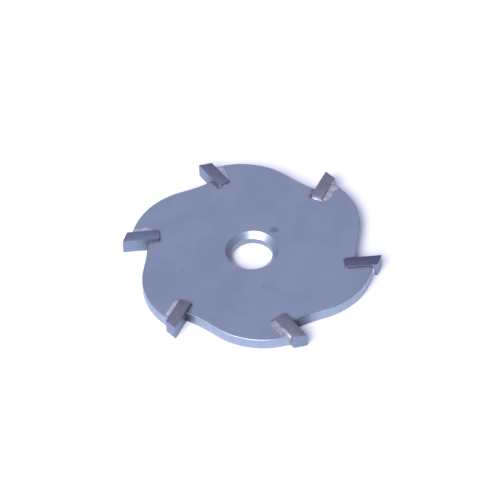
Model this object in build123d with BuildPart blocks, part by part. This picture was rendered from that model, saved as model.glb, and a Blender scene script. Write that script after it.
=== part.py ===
"""Six-tooth carving disc: a lobed steel plate with brazed carbide tips and a countersunk bore.

Units are millimetres. The origin is on the bore axis, in the plate's underside, the face that lies
on the machine's flange. +Z points to the countersunk face, and tip 1 cuts on +X. Seen from +Z the
disc turns counter-clockwise.
"""
import os
from math import acos, cos, degrees, radians, sin, sqrt, tan

from build123d import *

# Plate
tooth_count = 6
cutting_diameter = 50.0
plate_thickness = 2.4
rim_chamfer = 0.2

# Lobes: each pitch is a shallow gullet arc, tangent to the arc of the lobe that backs the next tip
gullet_floor_radius = 20.15
gullet_arc_radius = 35.0
lobe_arc_radius = 14.2
lobe_centre_radius = 9.5
lobe_centre_lag = 10.0  # degrees behind the cutting corner of the tip that the lobe backs
seam_lag = 4.5  # degrees behind a cutting corner, where one pitch of the outline ends inside the seat

# Bore
bore_diameter = 8.0
countersink_diameter = 10.2
countersink_angle = 90.0
bore_edge_break = 0.15

# Carbide tips
tip_length = 7.2
tip_thickness = 2.4
tip_proud_top = 0.5
tip_proud_under = 0.10
tip_corner_chamfer = 0.25
hook_angle = 10.5
relief_angle = 12.0

# Braze: it fills the seat around the tip, and climbs the tip's flanks in a fillet on the upper face
braze_gap = 0.12
seat_corner_radius = 0.3
fillet_rise = 0.36
back_fillet_leg = 0.7
end_fillet_leg = 0.3  # at the tip's inner end
leading_fillet_leg = 0.25  # before the rake face

# Worked out from the above
pitch = 360 / tooth_count
cutting_radius = cutting_diameter / 2
tip_height = plate_thickness + tip_proud_top + tip_proud_under
tip_end_setback = tip_thickness * tan(radians(hook_angle + relief_angle))
lobe_centre_angle = pitch - lobe_centre_lag
gullet_centre_radius = gullet_floor_radius + gullet_arc_radius
slot_overrun = 2.0  # how far a slot's outline runs past the cutting circle, to open through the rim


def polar(radius, angle):
    """The point at this radius from the bore axis, at this angle in degrees from +X."""
    return Vector(radius * cos(radians(angle)), radius * sin(radians(angle)))


def radius_on_ray(centre_radius, centre_angle, arc_radius, ray_angle, side):
    """How far out a ray from the bore axis meets a circle: side is 1 for its far wall, -1 for its near."""
    turn = radians(ray_angle - centre_angle)
    return centre_radius * cos(turn) + side * sqrt(arc_radius**2 - (centre_radius * sin(turn)) ** 2)


def gullet_centre_angle():
    """The gullet and lobe circles touch, so the distances between the three centres give the angle."""
    centre_distance = gullet_arc_radius + lobe_arc_radius
    cosine = gullet_centre_radius**2 + lobe_centre_radius**2 - centre_distance**2
    cosine /= 2 * gullet_centre_radius * lobe_centre_radius
    return lobe_centre_angle - degrees(acos(cosine))


def tip_plane(tooth, height):
    """The plane of a tip's outline: origin at the cutting corner, x outwards along the rake face."""
    angle = tooth * pitch
    corner = polar(cutting_radius, angle)
    return Plane(
        origin=(corner.X, corner.Y, height),
        x_dir=polar(1, angle + hook_angle),
        z_dir=(0, 0, 1),
    )


def slot_around_tip(back_margin, end_margin, leading_margin):
    """An open-ended slot around the tip's outline, wider by a margin at its back, inner end and rake face."""
    with Locations((-tip_length - end_margin, leading_margin)):
        Rectangle(
            tip_length + end_margin + slot_overrun,
            tip_thickness + back_margin + leading_margin,
            align=(Align.MIN, Align.MAX),
        )


def finish(piece, name):
    """Label a finished piece and write its STEP file."""
    piece.part.label = name
    export_step(piece.part, f"parts/{name}.step")


os.makedirs("parts", exist_ok=True)

# The plate's outline, before the seats are cut
gullet_angle = gullet_centre_angle()
gullet_start_radius = radius_on_ray(
    gullet_centre_radius, gullet_angle, gullet_arc_radius, -seam_lag, -1
)
lobe_end_radius = radius_on_ray(
    lobe_centre_radius, lobe_centre_angle, lobe_arc_radius, pitch - seam_lag, 1
)
lobe_centre = polar(lobe_centre_radius, lobe_centre_angle)
gullet_centre = polar(gullet_centre_radius, gullet_angle)
tangent_point = lobe_centre + (gullet_centre - lobe_centre).normalized() * lobe_arc_radius

with BuildSketch() as blank:
    with BuildLine():
        for tooth in range(tooth_count):
            turn = tooth * pitch
            gullet_start = polar(gullet_start_radius, turn - seam_lag)
            lobe_start = tangent_point.rotate(Axis.Z, turn)
            lobe_end = polar(lobe_end_radius, turn + pitch - seam_lag)
            RadiusArc(gullet_start, lobe_start, gullet_arc_radius)
            RadiusArc(lobe_start, lobe_end, -lobe_arc_radius)
            Line(lobe_end, polar(gullet_start_radius, turn + pitch - seam_lag))
    make_face()

# One tip's outline, and the slot that seats it, both drawn at the cutting corner
with BuildSketch() as tip_outline:
    with BuildLine():
        Polyline(
            (0, 0),
            (-tip_length, 0),
            (-tip_length, -tip_thickness),
            (-tip_end_setback, -tip_thickness),
            close=True,
        )
    make_face()

with BuildSketch() as seat_outline:
    slot_around_tip(braze_gap, braze_gap, braze_gap)
    fillet(seat_outline.vertices().group_by(Axis.X)[0], seat_corner_radius)

# The plate before its seats and bore, and the same with its upper face raised, which bounds the braze
with BuildPart() as plate_blank:
    add(blank.sketch)
    extrude(amount=plate_thickness)
    chamfer(plate_blank.edges().filter_by(GeomType.CIRCLE), rim_chamfer)

with BuildPart() as braze_limit:
    add(plate_blank.part)
    extrude(plate_blank.faces().sort_by(Axis.Z)[-1], amount=fillet_rise)

# Plate
with BuildPart() as disc_body:
    add(plate_blank.part)
    for tooth in range(tooth_count):
        with BuildSketch(tip_plane(tooth, 0)):
            add(seat_outline.sketch)
        extrude(amount=plate_thickness, mode=Mode.SUBTRACT)
    with Locations((0, 0, plate_thickness)):
        CounterSinkHole(
            bore_diameter / 2,
            countersink_diameter / 2,
            counter_sink_angle=countersink_angle,
        )
    underside_edges = disc_body.edges().filter_by(GeomType.CIRCLE).group_by(Axis.Z)[0]
    chamfer(underside_edges.sort_by_distance((0, 0, 0))[0], bore_edge_break)
finish(disc_body, "disc_body")

for tooth in range(tooth_count):
    # Carbide tip: a bar whose outer end falls back from the cutting corner
    with BuildPart() as carbide_tip:
        with BuildSketch(tip_plane(tooth, -tip_proud_under)):
            add(tip_outline.sketch)
        extrude(amount=tip_height)
        upright_edges = carbide_tip.edges().filter_by(Axis.Z)
        chamfer(upright_edges.sort_by_distance((0, 0, 0))[:2], tip_corner_chamfer)
    finish(carbide_tip, f"carbide_tip_{tooth + 1}")

    # Braze joint: the seat's filling and the fillet, out to the plate's rim, with the tip's shape left out
    with BuildPart() as braze_joint:
        with BuildSketch(tip_plane(tooth, plate_thickness)):
            slot_around_tip(back_fillet_leg, end_fillet_leg, leading_fillet_leg)
        with BuildSketch(tip_plane(tooth, plate_thickness + fillet_rise)):
            slot_around_tip(0, 0, 0)
        loft()
        with BuildSketch(tip_plane(tooth, 0)):
            add(seat_outline.sketch)
        extrude(amount=plate_thickness)
        add(braze_limit.part, mode=Mode.INTERSECT)
        add(carbide_tip.part, mode=Mode.SUBTRACT)
    finish(braze_joint, f"braze_joint_{tooth + 1}")
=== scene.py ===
"""The looks of the carving disc: a blasted steel plate, ground carbide tips and silver braze.

Each CAD node is replaced by a finer mesh, whose outline or place is read from the frame.
Shapes are worked out in millimetres, in the frame's own axes, and stored in metres.
"""

from math import cos, pi, radians, sin, sqrt

import bmesh
import bpy
import numpy as np
from mathutils import Matrix, Vector, noise
from mathutils.geometry import delaunay_2d_cdt


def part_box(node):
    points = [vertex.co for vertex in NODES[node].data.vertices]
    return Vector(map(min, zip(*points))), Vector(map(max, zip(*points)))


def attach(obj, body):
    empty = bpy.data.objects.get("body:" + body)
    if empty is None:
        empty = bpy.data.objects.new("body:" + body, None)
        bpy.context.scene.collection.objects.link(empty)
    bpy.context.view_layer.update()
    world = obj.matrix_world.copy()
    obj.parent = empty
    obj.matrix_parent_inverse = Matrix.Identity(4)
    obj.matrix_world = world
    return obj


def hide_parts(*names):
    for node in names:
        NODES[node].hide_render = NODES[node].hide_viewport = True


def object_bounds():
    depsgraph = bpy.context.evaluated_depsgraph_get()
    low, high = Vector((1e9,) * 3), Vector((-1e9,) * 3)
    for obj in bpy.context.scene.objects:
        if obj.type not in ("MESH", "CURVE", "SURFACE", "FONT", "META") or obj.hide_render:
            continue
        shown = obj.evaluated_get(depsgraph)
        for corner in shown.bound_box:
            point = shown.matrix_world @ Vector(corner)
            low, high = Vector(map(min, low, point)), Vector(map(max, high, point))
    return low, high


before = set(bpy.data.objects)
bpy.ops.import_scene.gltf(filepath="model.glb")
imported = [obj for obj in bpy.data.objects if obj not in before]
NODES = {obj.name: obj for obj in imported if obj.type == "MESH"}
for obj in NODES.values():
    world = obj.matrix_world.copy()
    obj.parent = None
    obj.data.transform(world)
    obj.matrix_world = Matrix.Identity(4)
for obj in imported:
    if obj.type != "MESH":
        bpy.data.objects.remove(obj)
cad_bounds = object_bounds()

MM = 0.001
TIP_COUNT = sum(name.startswith("carbide_tip_") for name in NODES)

# Sizes that the frame gives, in millimetres
PLATE_TOP = (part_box("disc_body")[1] / MM).z
CUTTING_RADIUS = cad_bounds[1].x / MM

# Finish sizes, in millimetres
RIM_ROUND = 0.2  # takes the place of the CAD rim chamfer
CUT_MARK_DEPTH = 0.012  # of each of the rim's two sizes of cutting mark
TURNING_MARKS, TURNING_MARK_DEPTH = 7, 0.0025  # on the countersink
EASED_EDGE, KEEN_EDGE = 0.09, 0.02  # a tip's edges, and those round its rake face

# Mesh spacings, in millimetres
RIM_STEP = 0.1
EDGE_BAND = 0.06  # flat band beside a rounded edge, which keeps the flat face's shading flat
CAP_SPACING = 1.3
BRAZE_STEP = 0.08
BORE_POINTS = 180  # round each of the bore's circles


# ---------------------------------------------------------------- meshes


def welded(node):
    """A CAD node's mesh as a bmesh in millimetres, with its split vertices joined."""
    bm = bmesh.new()
    bm.from_mesh(NODES[node].data)
    bmesh.ops.scale(bm, vec=(1 / MM,) * 3, verts=bm.verts)
    bmesh.ops.remove_doubles(bm, verts=bm.verts, dist=1e-3)
    bm.normal_update()
    return bm


def face_outlines(node, height):
    """The closed outlines of a node's flat upper face, longest first, each as an array of x, y."""
    bm = welded(node)
    flat = [f for f in bm.faces if f.normal.z > 0.99 and abs(f.calc_center_median().z - height) < 0.01]
    members = set(flat)
    ahead = {}
    for face in flat:
        for loop in face.loops:
            if sum(f in members for f in loop.edge.link_faces) == 1:
                ahead[loop.vert.index] = loop.link_loop_next.vert.index
    places = {v.index: (v.co.x, v.co.y) for v in bm.verts}
    bm.free()
    outlines = []
    while ahead:
        at, outline = next(iter(ahead)), []
        while at in ahead:
            outline.append(places[at])
            at = ahead.pop(at)
        outlines.append(np.array(outline))
    return sorted(outlines, key=perimeter, reverse=True)


def perimeter(points):
    return np.linalg.norm(np.roll(points, -1, 0) - points, axis=1).sum()


def distance_along(points):
    """How far along an open run of points each of them lies."""
    return np.concatenate([[0], np.linalg.norm(np.diff(points, axis=0), axis=1).cumsum()])


def smooth_run(points, step):
    """A smooth curve through the points of an open run, resampled at about this step (Catmull-Rom)."""
    padded = np.vstack([2 * points[0] - points[1], points, 2 * points[-1] - points[-2]])
    curve = []
    for p0, p1, p2, p3 in zip(padded, padded[1:], padded[2:], padded[3:]):
        count = max(1, round(np.linalg.norm(p2 - p1) / step))
        for t in np.arange(count) / count:
            curve.append(
                0.5 * (2 * p1 + (p2 - p0) * t + (2 * p0 - 5 * p1 + 4 * p2 - p3) * t**2
                       + (3 * p1 - p0 - 3 * p2 + p3) * t**3)
            )
    curve.append(points[-1])
    return np.array(curve)


def outward(points, closed):
    """Unit normals to the right of a run of points, which is outwards on a counter-clockwise outline."""
    if closed:
        along = np.roll(points, -1, 0) - np.roll(points, 1, 0)
    else:
        along = np.gradient(points, axis=0)
    along /= np.linalg.norm(along, axis=1)[:, None]
    return np.stack([along[:, 1], -along[:, 0]], 1)


def make_piece(name, node, vertices, faces, materials, material_index=None, sharp_angle=32):
    """Makes a shown piece from vertices in millimetres. It rides on the root, in place of a CAD node."""
    mesh = bpy.data.meshes.new(name)
    mesh.from_pydata(np.asarray(vertices) * MM, [], faces)
    for material in materials:
        mesh.materials.append(material)
    if material_index is not None:
        mesh.polygons.foreach_set("material_index", material_index)
    bm = bmesh.new()
    bm.from_mesh(mesh)
    bmesh.ops.remove_doubles(bm, verts=bm.verts, dist=1e-4 * MM)
    bmesh.ops.dissolve_degenerate(bm, edges=bm.edges, dist=1e-4 * MM)
    bmesh.ops.recalc_face_normals(bm, faces=bm.faces)
    bm.to_mesh(mesh)
    bm.free()
    mesh.shade_smooth()
    mesh.set_sharp_from_angle(angle=radians(sharp_angle))
    piece = bpy.data.objects.new(name, mesh)
    bpy.context.scene.collection.objects.link(piece)
    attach(piece, "root")
    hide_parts(node)


class Shell:
    """Vertices and faces being gathered for one mesh."""

    def __init__(self):
        self.vertices, self.faces, self.materials = [], [], []

    def strip(self, rows, material):
        """Quads between closed rows, each with as many points. Returns each row's vertex numbers."""
        rows = [np.asarray(row) for row in rows]
        start, width = len(self.vertices), len(rows[0])
        for row in rows:
            self.vertices.extend(row)
        numbers = [np.arange(width) + start + i * width for i in range(len(rows))]
        for upper, lower in zip(numbers, numbers[1:]):
            for j in range(width):
                k = (j + 1) % width
                self.faces.append((upper[j], lower[j], lower[k], upper[k]))
                self.materials.append(material)
        return numbers

    def face(self, numbers, material):
        self.faces.append(tuple(numbers))
        self.materials.append(material)


# ---------------------------------------------------------------- plate


def tip_frame(index):
    """A tip's outline from its cutting corner on, and its axes: out along its rake face and back from it."""
    node = f"carbide_tip_{index + 1}"
    outline = face_outlines(node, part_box(node)[1].z / MM)[0]
    first = np.linalg.norm(outline, axis=1).argmax()
    outline = np.roll(outline, -first, 0)
    corner = outline[0]
    rake_end = max((outline[1], outline[-1]), key=lambda p: np.linalg.norm(p - corner))
    along = (corner - rake_end) / np.linalg.norm(corner - rake_end)
    back = np.array([along[1], -along[0]])
    return {"corner": corner, "along": along, "back": back, "outline": outline}


def in_tip_frame(points, tip):
    """How far points lie out along a tip's rake face and back from it."""
    offset = np.asarray(points) - tip["corner"]
    return np.stack([offset @ tip["along"], offset @ tip["back"]], -1)


def from_tip_frame(local, tip):
    local = np.asarray(local)
    return tip["corner"] + local[..., :1] * tip["along"] + local[..., 1:2] * tip["back"]


PLATE_OUTLINE, MOUTH_OUTLINE = face_outlines("disc_body", PLATE_TOP)
TIPS = [tip_frame(i) for i in range(TIP_COUNT)]
TIP_LENGTH = -in_tip_frame(TIPS[0]["outline"], TIPS[0])[:, 0].min()
TIP_THICKNESS = in_tip_frame(TIPS[0]["outline"], TIPS[0])[:, 1].max()
SEAT_REACH = 0.3  # wider than the braze gap, so that it takes in the seat's walls


def in_seat(points):
    """True for each point on the wall of any tip's seat."""
    found = np.zeros(len(points), bool)
    for tip in TIPS:
        x, y = in_tip_frame(points, tip).T
        found |= (x > -TIP_LENGTH - SEAT_REACH) & (y > -SEAT_REACH) & (y < TIP_THICKNESS + SEAT_REACH)
    return found


def fine_outline():
    """The plate's upper outline, finely resampled on the rim.

    Gives its points, their outward normals (none in a seat), and whether each is on the rim.
    """
    seat = in_seat(PLATE_OUTLINE)
    start = next(i for i in range(len(seat)) if seat[i - 1] and not seat[i])
    outline, seat = np.roll(PLATE_OUTLINE, -start, 0), np.roll(seat, -start)
    points, normals, rim = [], [], []
    at = 0
    while at < len(outline):
        end = at
        while end < len(outline) and seat[end] == seat[at]:
            end += 1
        if seat[at]:
            run = outline[at + 1 : end - 1]  # the two at the seat's mouth end the rim's runs
            normal = np.zeros_like(run)
        else:
            mouth_before, mouth_after = outline[at - 1], outline[end % len(outline)]
            run = smooth_run(np.vstack([mouth_before, outline[at:end], mouth_after]), RIM_STEP)
            normal = outward(run, closed=False)
        points.append(run)
        normals.append(normal)
        rim.append(np.full(len(run), not seat[at]))
        at = end
    return np.vstack(points), np.vstack(normals), np.concatenate(rim)


def cut_marks(distance, height):
    """How far the rim's upright cutting marks stand out, in millimetres. They drag back down the wall."""
    along = distance + 0.25 * (1 - height / PLATE_TOP) ** 2
    fine = noise.noise((along * 2.6, height * 0.25, 3.1))
    coarse = noise.noise((along * 0.9, height * 0.15, 8.7))
    return CUT_MARK_DEPTH * fine + CUT_MARK_DEPTH * coarse


def at_height(points, height):
    return np.column_stack([points, np.full(len(points), height)])


def cap(shell, outer, inner, height, material):
    """Fills the flat face between an outer and an inner outline with even triangles."""
    grid = np.arange(-CUTTING_RADIUS, CUTTING_RADIUS, CAP_SPACING)
    inside = np.array([(x + 0.5 * CAP_SPACING * (j % 2), y) for j, y in enumerate(grid) for x in grid])
    edges = np.vstack([outer, inner])
    gaps = np.linalg.norm(inside[:, None] - edges[None], axis=2).min(1)
    inside = inside[(gaps > 0.6 * CAP_SPACING) & within(inside, outer) & ~within(inside, inner)]
    points = np.vstack([edges, inside])
    rings = []
    for first, count in ((0, len(outer)), (len(outer), len(inner))):
        rings += [(first + i, first + (i + 1) % count) for i in range(count)]
    whole_hull, merge = 0, 1e-6
    placed, _, triangles, *_ = delaunay_2d_cdt([Vector(p) for p in points], rings, [], whole_hull, merge)
    placed = np.array([(p.x, p.y) for p in placed])
    middles = placed[np.array(triangles)].mean(1)
    keep = within(middles, outer) & ~within(middles, inner)
    start = len(shell.vertices)
    shell.vertices.extend(at_height(placed, height))
    for triangle, kept in zip(triangles, keep):
        if kept:
            shell.face([start + i for i in triangle], material)


def within(points, outline):
    """True for each point inside a closed outline."""
    x, y = points[:, :1], points[:, 1:2]
    x0, y0 = outline.T
    x1, y1 = np.roll(outline, -1, 0).T
    crosses = (y0 > y) != (y1 > y)
    slope = (x1 - x0) / np.where(y1 == y0, 1e-12, y1 - y0)
    return (crosses & (x < x0 + (y - y0) * slope)).sum(1) % 2 == 1


def bore_profile(mouth_radius, wall_radius, foot_radius):
    """The bore's profile from the upper face down, as (radius, height): edge, marked cone, wall, edge."""
    cone_foot = PLATE_TOP - (mouth_radius - wall_radius)
    profile = [(mouth_radius + 2 * EDGE_BAND, PLATE_TOP), (mouth_radius + 0.5 * EDGE_BAND, PLATE_TOP)]
    rows_per_mark = 6
    last = TURNING_MARKS * rows_per_mark
    for i in range(last + 1):
        share = (i + 0.4) / (last + 0.8)  # stops just short of the cone's two edges
        ripple = TURNING_MARK_DEPTH * cos(2 * pi * i / rows_per_mark)
        radius = mouth_radius + share * (wall_radius - mouth_radius) + ripple
        profile.append((radius, PLATE_TOP + share * (cone_foot - PLATE_TOP) + ripple))
    wall_foot = foot_radius - wall_radius
    for height in np.linspace(cone_foot - 0.06, wall_foot + 0.02, 6):
        profile.append((wall_radius, height))
    profile += [(foot_radius - 0.02, 0.02), (foot_radius + 0.03, 0), (foot_radius + 2 * EDGE_BAND, 0)]
    return profile


def build_plate(materials):
    """The lobed plate: two flat faces, a rounded and striated rim, seats, and the turned bore."""
    face, rim_cut, turned = range(3)
    points, normals, on_rim = fine_outline()
    inner = -EDGE_BAND * outward(points, closed=True)
    distance = distance_along(points)
    round_steps = [radians(18 * i) for i in range(6)]
    heights = [PLATE_TOP - RIM_ROUND * (1 - cos(a)) for a in round_steps]
    bulges = [RIM_ROUND * sin(a) for a in round_steps]
    wall = list(np.linspace(PLATE_TOP - RIM_ROUND, RIM_ROUND, 9)[1:-1])
    profile = list(zip(bulges, heights)) + [(RIM_ROUND, z) for z in wall]
    profile += [(bulge, PLATE_TOP - z) for bulge, z in reversed(list(zip(bulges, heights)))]
    rows = [at_height(points + inner, PLATE_TOP)]
    for bulge, z in profile:
        marks = np.array([cut_marks(d, z) if rim else 0 for d, rim in zip(distance, on_rim)])
        out = (bulge + marks * bulge / RIM_ROUND)[:, None] * normals
        rows.append(at_height(points + out, z))
    rows.append(at_height(points + inner, 0))
    shell = Shell()
    shell.strip(rows[:2], face)
    shell.strip(rows[1:-1], rim_cut)
    shell.strip(rows[-2:], face)

    bm = welded("disc_body")
    radii = np.array([(v.co.xy.length, v.co.z) for v in bm.verts])
    bm.free()
    wall_radius = radii[:, 0].min()
    foot_radius = radii[radii[:, 1] < 1e-3][:, 0].min()
    mouth_radius = np.linalg.norm(MOUTH_OUTLINE, axis=1).mean()
    turn = np.linspace(0, 2 * pi, BORE_POINTS + 1)[:-1]
    circle = np.column_stack([np.cos(turn), np.sin(turn)])
    bore = [at_height(circle * r, z) for r, z in bore_profile(mouth_radius, wall_radius, foot_radius)]
    shell.strip(bore[:2], face)
    shell.strip(bore[1:-1], turned)
    shell.strip(bore[-2:], face)
    cap(shell, points + inner, bore[0][:, :2], PLATE_TOP, face)
    cap(shell, points + inner, bore[-1][:, :2], 0, face)
    make_piece(
        "disc_plate", "disc_body",
        shell.vertices, shell.faces, materials, material_index=shell.materials,
    )


# ---------------------------------------------------------------- tips


def build_tip(index, material):
    """A carbide tip: crisp at the edges of its rake face, eased at the others."""
    tip = TIPS[index]
    node = f"carbide_tip_{index + 1}"
    low, high = (corner.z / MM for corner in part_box(node))
    bm = bmesh.new()
    bottom = [bm.verts.new((*p, low)) for p in tip["outline"]]
    top = [bm.verts.new((*p, high)) for p in tip["outline"]]
    bm.faces.new(bottom[::-1])
    bm.faces.new(top)
    for i in range(len(top)):
        j = (i + 1) % len(top)
        bm.faces.new((bottom[i], bottom[j], top[j], top[i]))
    bmesh.ops.recalc_face_normals(bm, faces=bm.faces)
    bm.normal_update()
    rake_normal = Vector((*-tip["back"], 0))

    def rake_faces(edge):
        return sum(face.normal.dot(rake_normal) > 0.999 for face in edge.link_faces)

    style = {"affect": "EDGES", "profile": 0.5, "clamp_overlap": True}
    others = [edge for edge in bm.edges if not rake_faces(edge)]
    bmesh.ops.bevel(bm, geom=others, offset=EASED_EDGE, segments=3, **style)
    cutting = [edge for edge in bm.edges if rake_faces(edge) == 1]
    bmesh.ops.bevel(bm, geom=cutting, offset=KEEN_EDGE, segments=2, **style)
    vertices = [tuple(v.co) for v in bm.verts]
    faces = []
    for face in bm.faces:
        corners = [v.index for v in face.verts]
        first = corners.index(min(corners))
        faces.append(corners[first:] + corners[:first])
    bm.free()
    faces.sort()  # a bevel leaves them in no fixed order
    make_piece(f"{node}_ground", node, vertices, faces, [material])


# ---------------------------------------------------------------- braze


# Sizes in millimetres, at a tip's back, at its inner end and before its rake face
BRAZE_GAP = 0.12
OVERLAP = 0.02  # how far the braze's hidden sides run into the plate and the tip
BACK_LEG, END_LEG, LEADING_LEG = 1.2, 0.18, 0.15  # how far a fillet spreads over the plate
BACK_RISE, END_RISE, LEADING_RISE = 0.22, 0.3, 0.03  # how far it climbs the tip above the plate
BRAZE_FILM = 0.035  # how thick it lies where it only wets the plate
BACK_CORNER, LEADING_CORNER = 0.5, 0.25  # fillets between the rim's wall and the tip's flanks
PATH_CORNER = 0.25  # how far short of a tip's inner corners its straight flanks end

# How freely the braze ran out behind each tip, where 1 is usual, from what share of the tip's length
# outwards, and how freely it ran out at the tip's inner end
RUN_BEHIND = (0.1, 1.1, 0.9, 1.1, 0.8, 0.95)
RUN_START = (0.0, -0.1, 0.05, 0.05, -0.2, -0.25)
RUN_AT_END = (0.5, 0.7, 0.5, 0.3, 0.4, 0.3)


def rim_reach(tip):
    """How far out along a tip the plate's rim meets its rake face and its back face."""
    local = in_tip_frame(PLATE_OUTLINE, tip)
    near = local[(local[:, 0] > -TIP_LENGTH - SEAT_REACH) & (local[:, 0] < 1)]
    leading = near[(near[:, 1] < 0) & (near[:, 1] > -SEAT_REACH)]
    trailing = near[(near[:, 1] > TIP_THICKNESS) & (near[:, 1] < TIP_THICKNESS + SEAT_REACH)]
    return leading[:, 0].max(), trailing[:, 0].max()


def braze_stations(tip):
    """Stations round a tip's flanks, in its own frame, from its rake face by its inner end to its back.

    Each is a place, an outward way, and how far past the plate's rim the place is, as a share of the
    corner fillet there (negative inside the rim).
    """
    leading_end, trailing_end = rim_reach(tip)
    inner, corner = -TIP_LENGTH, PATH_CORNER
    legs = [
        ((leading_end + LEADING_CORNER, 0), (inner + corner, 0), (0, -1)),
        ((inner, corner), (inner, TIP_THICKNESS - corner), (-1, 0)),
        ((inner + corner, TIP_THICKNESS), (trailing_end + BACK_CORNER, TIP_THICKNESS), (0, 1)),
    ]
    places, ways, past = [], [], []
    for start, end, way in legs:
        count = round(np.linalg.norm(np.subtract(end, start)) / BRAZE_STEP)
        for place in np.linspace(start, end, count + 1):
            places.append(place)
            ways.append(way)
            if way[1] < 0:
                past.append((place[0] - leading_end) / LEADING_CORNER)
            else:
                past.append((place[0] - trailing_end) / BACK_CORNER)
    ways = np.array(ways, float)
    for _ in range(4):  # turns the way gradually round a corner
        ways[1:-1] = (ways[:-2] + 2 * ways[1:-1] + ways[2:]) / 4
    ways /= np.linalg.norm(ways, axis=1)[:, None]
    return np.array(places), ways, np.array(past)


def eased(share):
    share = min(1, max(0, share))
    return share * share * (3 - 2 * share)


def room_on_plate(place, way, tip):
    """How far the plate's upper face goes on from a place on a tip's flank, less a little."""
    step = 0.02
    reaches = np.arange(BRAZE_GAP + 0.06, 1.6, step)  # up to more than any leg
    inside = within(from_tip_frame(place + way * reaches[:, None], tip), PLATE_OUTLINE)
    return reaches[-1] if inside.all() else reaches[inside.argmin()] - 2 * step


def fillet_size(place, way, index):
    """How far the fillet spreads and climbs at a place on a tip's flank, before its lumps."""
    behind, before = max(0, way[1]) ** 2, max(0, -way[1]) ** 2
    at_end = 1 - behind - before
    outward_share = (place[0] + TIP_LENGTH) / TIP_LENGTH  # from 0 at the tip's inner end
    grown = 0.12 + 0.88 * eased((outward_share - RUN_START[index]) / 0.35)
    back_leg = BACK_LEG * RUN_BEHIND[index] * grown
    end_leg = END_LEG * RUN_AT_END[index]
    leg = behind * back_leg + at_end * end_leg + before * LEADING_LEG
    back_rise = BACK_RISE * RUN_BEHIND[index] ** 2 * (0.4 + 0.6 * eased(4 * outward_share - 1.2))
    rise = behind * back_rise + at_end * END_RISE * RUN_AT_END[index] + before * LEADING_RISE
    return leg, rise


def braze_section(width, leg, rise):
    """The braze's section beside a tip, as (out from the flank, height), from below it round to the flank."""
    into_tip = -OVERLAP
    section = [(into_tip, -0.02), (0.4 * width, -0.045), (width, -0.01)]  # bulges a little underneath
    section += [(width, z) for z in np.linspace(0.2, PLATE_TOP - 0.1, 7)]
    section.append((max(width, leg * 0.98), PLATE_TOP - 0.01))
    for inward in np.linspace(0, 1, 13) ** 1.5:
        film = BRAZE_FILM * sqrt(1 - (1 - inward) ** 6)
        section.append((leg * (1 - inward), PLATE_TOP + film + rise * (1 - sqrt(1 - inward**2))))
    section.append((into_tip, PLATE_TOP + 0.98 * rise))
    section += [(into_tip, z) for z in np.linspace(PLATE_TOP - 0.1, 0.2, 5)]
    return section


def build_braze(index, material):
    """Braze round one tip: the seat's thin fill, an uneven fillet on the face, and fillets at the rim."""
    tip = TIPS[index]
    places, ways, past = braze_stations(tip)
    seed = index * 17.3
    rows = []
    for place, way, over, s in zip(places, ways, past, distance_along(places)):
        leg, rise = fillet_size(place, way, index)
        leg *= 1 + 0.3 * noise.noise((s * 0.7, seed, 0.5)) + 0.12 * noise.noise((s * 1.9, seed, 4.5))
        rise *= 1 + 0.15 * noise.noise((s * 1.1, seed, 9.5))
        leg = min(leg, room_on_plate(place, way, tip))
        width = BRAZE_GAP + OVERLAP
        if over > -0.2:  # the corner fillet takes over at the rim
            corner = BACK_CORNER if way[1] > 0 else LEADING_CORNER
            width = OVERLAP + corner * (1 - min(1, max(0, over))) ** 2
            leg *= 1 - eased((over + 0.2) / 1.2)
            rise *= 1 - 0.8 * eased(over)
        row = []
        for out, height in braze_section(width, max(leg, width + 0.01), rise):
            x, y = from_tip_frame(place + way * out, tip)
            if height > PLATE_TOP:
                bump = noise.noise((x * 2.2, y * 2.2, height * 2.2 + seed))
                height += 0.4 * bump * min(height - PLATE_TOP, BRAZE_FILM)
                if out > 0.03:
                    x, y = from_tip_frame(place + way * (out + 0.03 * bump), tip)
            row.append((x, y, height))
        rows.append(row)
    shell = Shell()
    numbers = shell.strip(rows, 0)
    shell.face(numbers[0], 0)
    shell.face(numbers[-1], 0)
    name, node = f"braze_fillet_{index + 1}", f"braze_joint_{index + 1}"
    make_piece(name, node, shell.vertices, shell.faces, [material], sharp_angle=60)


# ---------------------------------------------------------------- materials


# How brown and how dark each tip's top is, how sooty its braze is on the face, and how dark its braze is down
# the rim, from soot and painted corner shade
TIP_STAIN = (0.3, 1.0, 0.5, 0.2, 1.0, 0.8)
TIP_SHADE = (0.75, 0.1, 0.4, 0.05, 0.25, 0.1)
TOP_SOOT = (0.9, 0.18, 0.05, 0.0, 0.0, 0.3)
RIM_SOOT_AND_SHADE = (0.1, 0.5, 0.5, 0.5, 0.0, 0.85)


class Tree:
    """Short calls for building a node tree."""

    def __init__(self, tree):
        self.tree = tree

    def link(self, source, target):
        self.tree.links.new(source, target)

    def feed(self, socket, value):
        if isinstance(value, bpy.types.NodeSocket):
            self.link(value, socket)
        else:
            socket.default_value = value

    def node(self, kind, *values, **settings):
        """A node with its settings, fed with these values in order."""
        node = self.tree.nodes.new("ShaderNode" + kind)
        for key, value in settings.items():
            setattr(node, key, value)
        for socket, value in zip(node.inputs, values):
            self.feed(socket, value)
        return node

    def maths(self, operation, *values):
        return self.node("Math", *values, operation=operation).outputs[0]

    def vector(self, operation, *values):
        node = self.node("VectorMath", *values, operation=operation)
        return node.outputs[1 if operation in ("DISTANCE", "DOT_PRODUCT") else 0]

    def span(self, value, low, high, to_low=0.0, to_high=1.0):
        """Value remapped smoothly, so that low gives to_low and high gives to_high."""
        node = self.node("MapRange", value, low, high, to_low, to_high, interpolation_type="SMOOTHSTEP")
        return node.outputs[0]

    def mix(self, share, a, b):
        """One colour mixed with another. A Mix node's colours are its inputs 6 and 7 and its output 2."""
        node = self.node("Mix", data_type="RGBA")
        for number, value in ((0, share), (6, a), (7, b)):
            self.feed(node.inputs[number], value)
        return node.outputs[2]


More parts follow.
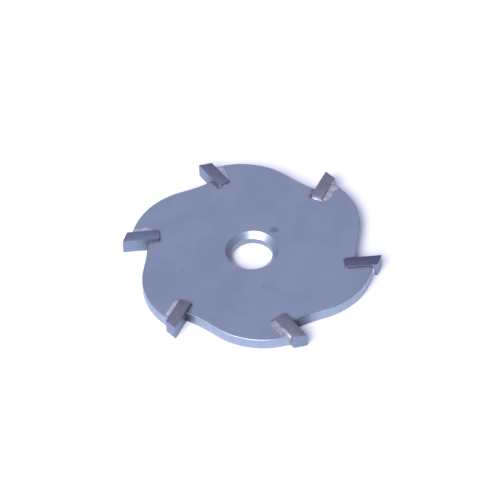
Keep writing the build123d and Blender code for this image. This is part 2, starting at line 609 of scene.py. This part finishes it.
class Surface(Tree):
    """A new material. Its textures are placed in millimetres, in the frame's axes."""

    def __init__(self, name, metallic, specular=0.5):
        self.material = bpy.data.materials.new(name)
        self.material.use_nodes = True
        super().__init__(self.material.node_tree)
        self.shader = self.tree.nodes["Principled BSDF"]
        self.shader.inputs["Metallic"].default_value = metallic
        self.shader.inputs["Specular IOR Level"].default_value = specular
        coordinates = self.node("TexCoord").outputs["Object"]
        self.place = self.vector("MULTIPLY", coordinates, (1 / MM,) * 3)

    def noise(self, size, detail=3, stretch=(1, 1, 1), offset=(0, 0, 0)):
        """Noise from 0 to 1, whose features are about this size in millimetres."""
        moved = self.vector("MULTIPLY_ADD", self.place, stretch, offset)
        texture = self.node("TexNoise", moved)
        texture.inputs["Scale"].default_value = 1 / size
        texture.inputs["Detail"].default_value = detail
        texture.inputs["Roughness"].default_value = 0.55
        return texture.outputs["Fac"]

    def beside_tips(self):
        """How far out along the nearest tip's rake face each place is, and how far ahead of that face."""
        x, y, _ = self.node("SeparateXYZ", self.place).outputs
        radius = self.maths("SQRT", self.maths("ADD", self.maths("POWER", x, 2), self.maths("POWER", y, 2)))
        half = pi / TIP_COUNT
        turn = self.maths("WRAP", self.maths("ARCTAN2", y, x), half, -half)
        folded = self.node(
            "CombineXYZ",
            self.maths("MULTIPLY", radius, self.maths("COSINE", turn)),
            self.maths("MULTIPLY", radius, self.maths("SINE", turn)),
        ).outputs[0]
        offset = self.vector("SUBTRACT", folded, (*TIPS[0]["corner"], 0))
        out = self.vector("DOT_PRODUCT", offset, (*TIPS[0]["along"], 0))
        return out, self.vector("DOT_PRODUCT", offset, (*-TIPS[0]["back"], 0))

    def flux(self, reach, pool, strength):
        """A mask for burnt flux and painted corner shade on the steel ahead of each tip.

        It reaches this many millimetres over the face, and as far as pool in the rim's corner.
        """
        out, ahead = self.beside_tips()
        rim = rim_reach(TIPS[0])[0]
        width = self.span(out, rim - 1.4, rim - 0.2, reach, pool)
        ragged = self.maths("SUBTRACT", self.noise(0.7, offset=(9, 2, 0)), 0.5)
        near = self.span(self.maths("ADD", ahead, ragged), 0.05, width, strength, 0)
        near = self.maths("MULTIPLY", near, self.span(ahead, -0.5, -0.1))
        return self.maths("MULTIPLY", near, self.span(out, -TIP_LENGTH - 0.5, -TIP_LENGTH + 0.3))

    def bump(self, height, depth):
        """A normal from a height between 0 and 1, whose full depth is in millimetres."""
        node = self.node("Bump")
        node.inputs["Strength"].default_value = 1
        node.inputs["Distance"].default_value = depth * MM
        self.feed(node.inputs["Height"], height)
        return node.outputs["Normal"]

    def finish(self, colour, roughness, normal):
        self.feed(self.shader.inputs["Base Color"], colour)
        self.feed(self.shader.inputs["Roughness"], roughness)
        self.link(normal, self.shader.inputs["Normal"])
        return self.material


def rgb(r, g, b):
    return (r, g, b, 1)


def blasted_steel():
    """The plate's flat faces: matte, finely blasted steel, faintly mottled, with a few stains and specks."""
    n = Surface("blasted_steel", metallic=0.85)
    mottle = n.noise(6, detail=4)
    grain = n.noise(0.11, detail=2)
    colour = n.mix(n.span(mottle, 0.35, 0.65), rgb(0.355, 0.40, 0.505), rgb(0.37, 0.415, 0.52))
    colour = n.mix(n.span(grain, 0.3, 0.7, 0, 0.2), colour, rgb(0.44, 0.49, 0.595))
    speck = n.span(n.noise(0.7, detail=1, offset=(31, 7, 0)), 0.79, 0.83, 0, 0.4)
    colour = n.mix(speck, colour, rgb(0.14, 0.15, 0.22))
    # A smudge beside the countersink, and two dents, painted only as dark spots of painted shade; the mesh
    # has no dent
    for x, y, radius, strength in ((3.75, 5.6, 1.5, 0.55), (3.2, -9.2, 0.45, 0.5), (-12.65, -6.5, 0.4, 0.5)):
        away = n.vector("DISTANCE", n.place, (x, y, PLATE_TOP))
        ragged = n.maths("MULTIPLY", n.noise(0.6), 0.6 * radius)
        stain = n.span(n.maths("ADD", away, ragged), 0.6 * radius, radius, strength, 0)
        colour = n.mix(stain, colour, rgb(0.17, 0.18, 0.25))
    # Burnt flux and painted corner shade on the face ahead of each tip's rake face
    colour = n.mix(n.flux(0.7, 1.3, 0.85), colour, rgb(0.13, 0.135, 0.18))
    roughness = n.span(mottle, 0.3, 0.7, 0.5, 0.56)
    return n.finish(colour, roughness, n.bump(grain, 0.009))


def cut_steel():
    """The rim: steel with upright cutting marks."""
    n = Surface("cut_steel", metallic=0.9)
    streak = n.noise(0.35, detail=3, stretch=(1, 1, 0.08))
    colour = n.mix(n.span(streak, 0.3, 0.7), rgb(0.305, 0.365, 0.475), rgb(0.36, 0.425, 0.54))
    # Burnt flux and painted corner shade on the rim wall ahead of each tip
    colour = n.mix(n.flux(3.0, 3.0, 0.9), colour, rgb(0.10, 0.12, 0.155))
    # Painted shade in the notch before the last tip, where its rake face shades the rim, with some burnt flux
    notch_shade_centre = from_tip_frame((rim_reach(TIPS[-1])[0], -1.2), TIPS[-1])
    away = n.vector("DISTANCE", n.vector("MULTIPLY", n.place, (1, 1, 0)), (*notch_shade_centre, 0))
    colour = n.mix(n.span(away, 0.8, 4.6, 0.75, 0), colour, rgb(0.10, 0.12, 0.155))
    return n.finish(colour, n.span(streak, 0.3, 0.7, 0.42, 0.52), n.bump(streak, 0.01))


def turned_steel():
    """The bore and its countersink: turned steel, a little cleaner than the faces."""
    n = Surface("turned_steel", metallic=0.9)
    grain = n.noise(0.25, detail=3)
    colour = n.mix(n.span(grain, 0.3, 0.7), rgb(0.33, 0.38, 0.47), rgb(0.38, 0.43, 0.53))
    height = n.node("SeparateXYZ", n.place).outputs["Z"]
    # Painted shade: darker low in the bore, below the countersink
    colour = n.mix(n.span(height, 1.35, 1.15, 0, 0.4), colour, rgb(0.16, 0.19, 0.24))
    return n.finish(colour, n.span(grain, 0.3, 0.7, 0.40, 0.46), n.bump(grain, 0.004))


def ground_carbide(index):
    """A tip: sintered carbide, ground all over, its top left brown and dull by the heat of brazing."""
    stain, shade = TIP_STAIN[index], TIP_SHADE[index]
    n = Surface(f"ground_carbide_{index + 1}", metallic=0.8)
    grain = n.noise(0.12, detail=2)
    lines = n.noise(0.09, detail=2, stretch=(1, 1, 0.06))
    patch = n.noise(1.2, detail=3, offset=(3 * index, 0, 0))
    out, ahead = n.beside_tips()
    clean = n.mix(n.span(grain, 0.3, 0.7), rgb(0.195, 0.25, 0.36), rgb(0.24, 0.295, 0.415))
    clean = n.mix(n.span(patch, 0.35, 0.7, 0, 0.35), clean, rgb(0.16, 0.19, 0.28))
    burnt = n.mix(n.span(patch, 0.35, 0.65), rgb(0.30, 0.285, 0.345), rgb(0.355, 0.325, 0.375))
    upward = n.node("SeparateXYZ", n.node("NewGeometry").outputs["Normal"]).outputs["Z"]
    on_top = n.span(upward, 0.3, 0.9)
    top = n.mix(shade, n.mix(stain, clean, burnt), rgb(0.13, 0.13, 0.19))
    # Flanks darker towards the tip's inner end, where it sits in its seat: flux stain and painted corner
    # shade
    flank = n.mix(n.span(out, -5.6, -2.2, 0.8, 0), clean, rgb(0.13, 0.145, 0.20))
    behind = n.span(ahead, 0.3 - TIP_THICKNESS, 0.1 - TIP_THICKNESS, 0, shade)
    behind = n.maths("MULTIPLY", behind, n.span(out, -2.5, -1.7, 1, 0))
    flank = n.mix(behind, flank, rgb(0.10, 0.10, 0.15))
    colour = n.mix(on_top, flank, top)
    return n.finish(colour, n.span(lines, 0.3, 0.7, 0.38, 0.5), n.bump(lines, 0.006))


def silver_braze(index):
    """One tip's braze: pale silver alloy, dulled in patches, and darkened ahead of the tip and down the rim
    by soot, burnt flux and painted corner shade.
    """
    n = Surface(f"silver_braze_{index + 1}", metallic=0.9)
    lump = n.noise(0.9, detail=2)
    flux = n.noise(0.9, detail=3, offset=(5, 0, 3))
    colour = n.mix(n.span(lump, 0.3, 0.7), rgb(0.70, 0.67, 0.73), rgb(0.84, 0.81, 0.88))
    colour = n.mix(n.span(flux, 0.5, 0.7, 0, 0.6), colour, rgb(0.42, 0.38, 0.42))
    out, ahead = n.beside_tips()
    height = n.node("SeparateXYZ", n.place).outputs["Z"]
    # Soot on the braze on the face; down the rim, soot and painted corner shade
    burnt = n.span(height, PLATE_TOP - 0.2, PLATE_TOP - 0.8, TOP_SOOT[index], RIM_SOOT_AND_SHADE[index])
    least = 1 - 0.8 * RUN_AT_END[index]
    dull = n.span(ahead, -0.9, -1.8, least, max(least, 0.95))
    at_end = n.span(out, 0.4 - TIP_LENGTH, 0.1 - TIP_LENGTH, 0, dull)
    colour = n.mix(burnt, colour, rgb(0.19, 0.19, 0.24))
    colour = n.mix(at_end, colour, rgb(0.27, 0.285, 0.355))
    # Burnt flux and painted corner shade on the braze before the rake face and the front of the inner end
    colour = n.mix(n.span(ahead, -1.2, 0, 0, 0.95), colour, rgb(0.125, 0.135, 0.185))
    return n.finish(colour, n.span(lump, 0.3, 0.7, 0.44, 0.56), n.bump(lump, 0.012))


def pale_floor():
    """The table: plain near-white paint. It vanishes for a camera below it, to show the underside."""
    n = Surface("pale_floor", metallic=0.0, specular=0.2)
    grain = n.noise(1.5, detail=2)
    n.finish(n.mix(grain, rgb(0.86, 0.86, 0.87), rgb(0.88, 0.88, 0.89)), 0.8, n.bump(grain, 0.002))
    eye = n.node("VectorTransform", (0, 0, 0), vector_type="POINT", convert_from="CAMERA", convert_to="WORLD")
    below = n.maths("LESS_THAN", n.node("SeparateXYZ", eye.outputs[0]).outputs["Z"], 0)
    clear = n.node("BsdfTransparent").outputs[0]
    shown = n.node("MixShader", below, n.shader.outputs[0], clear).outputs[0]
    n.link(shown, n.tree.nodes["Material Output"].inputs["Surface"])
    return n.material


# ---------------------------------------------------------------- stage


VIEW_AZIMUTH, VIEW_ELEVATION, VIEW_ROLL = 7.12, 46.6, -2.24  # degrees
VIEW_DISTANCE = 0.756  # metres
FRAME_WIDTH_MM = 96.05  # what the frame spans at the disc
VIEW_OFFSET_MM = (0.325, 0.34)  # how far the disc's centre sits right of and above the frame's
LIGHT_AZIMUTH, LIGHT_ELEVATION, LIGHT_WIDTH = -22, 40, 44  # degrees
LIGHT_STRENGTH = 4.3
ROOM_STRENGTH = 0.82
FLOOR_RADIUS = 2.5  # metres
FLOOR_GAP_MM = 0.02  # keeps the floor clear of the tips' undersides


def view_axes(azimuth, elevation):
    """Unit vectors back to the viewer, right and up."""
    a, e = radians(azimuth), radians(elevation)
    back = Vector((sin(a) * cos(e), -cos(a) * cos(e), sin(e)))
    right = Vector((cos(a), sin(a), 0))
    return back, right, back.cross(right)


def add_camera():
    back, right, up = view_axes(VIEW_AZIMUTH, VIEW_ELEVATION)
    roll = Matrix.Rotation(radians(VIEW_ROLL), 3, back)
    right, up = roll @ right, roll @ up
    data = bpy.data.cameras.new("camera")
    data.sensor_width = 36
    data.lens = data.sensor_width * VIEW_DISTANCE / (FRAME_WIDTH_MM * MM)
    data.clip_start, data.clip_end = 0.05, 20
    camera = bpy.data.objects.new("camera", data)
    target = Vector((0, 0, cad_bounds[1].z))
    target -= right * VIEW_OFFSET_MM[0] * MM + up * VIEW_OFFSET_MM[1] * MM
    turn = Matrix((right, up, back)).transposed().to_4x4()
    camera.matrix_world = Matrix.Translation(target + back * VIEW_DISTANCE) @ turn
    bpy.context.scene.collection.objects.link(camera)
    bpy.context.scene.camera = camera


def add_light():
    """A broad, even light from the front left, like a big window's."""
    data = bpy.data.lights.new("window", "SUN")
    data.energy, data.angle = LIGHT_STRENGTH, radians(LIGHT_WIDTH)
    data.color = (1, 0.99, 0.97)
    lamp = bpy.data.objects.new("window", data)
    back, _, _ = view_axes(LIGHT_AZIMUTH, LIGHT_ELEVATION)
    lamp.rotation_mode = "QUATERNION"
    lamp.rotation_quaternion = back.to_track_quat("Z", "Y")
    bpy.context.scene.collection.objects.link(lamp)


def add_room():
    """A pale lilac room, darker towards its far right and near eye level. The camera sees it as white."""
    world = bpy.data.worlds.new("room")
    world.use_nodes = True
    n = Tree(world.node_tree)
    direction = n.node("TexCoord").outputs["Generated"]
    slope = n.maths("ABSOLUTE", n.node("SeparateXYZ", direction).outputs["Z"])
    far_right = n.vector("DOT_PRODUCT", direction, (0.64, 0.77, 0))
    dim = n.span(far_right, -0.6, 0.8, 0, 0.35)
    low = n.span(slope, 0.0, 0.5, 0.7, 0)
    strength = n.maths("MULTIPLY", n.maths("SUBTRACT", 1, dim), n.maths("SUBTRACT", 1, low))
    strength = n.maths("MULTIPLY", strength, ROOM_STRENGTH)
    seen = n.node("LightPath").outputs["Is Camera Ray"]
    background = world.node_tree.nodes["Background"]
    n.feed(background.inputs["Color"], n.mix(seen, rgb(0.65, 0.69, 1), rgb(1, 1, 1)))
    n.feed(background.inputs["Strength"], n.maths("MAXIMUM", strength, seen))
    bpy.context.scene.world = world


def add_floor():
    mesh = bpy.data.meshes.new("floor")
    bm = bmesh.new()
    bmesh.ops.create_circle(bm, cap_ends=True, radius=FLOOR_RADIUS, segments=96)
    bmesh.ops.translate(bm, vec=(0, 0, cad_bounds[0].z - FLOOR_GAP_MM * MM), verts=bm.verts)
    bm.to_mesh(mesh)
    bm.free()
    mesh.materials.append(pale_floor())
    floor = bpy.data.objects.new("floor", mesh)
    bpy.context.scene.collection.objects.link(floor)


build_plate([blasted_steel(), cut_steel(), turned_steel()])
for tip_index in range(TIP_COUNT):
    build_tip(tip_index, ground_carbide(tip_index))
    build_braze(tip_index, silver_braze(tip_index))
add_floor()
add_room()
add_light()
add_camera()
view = bpy.context.scene.view_settings
view.view_transform, view.look = "Standard", "None"
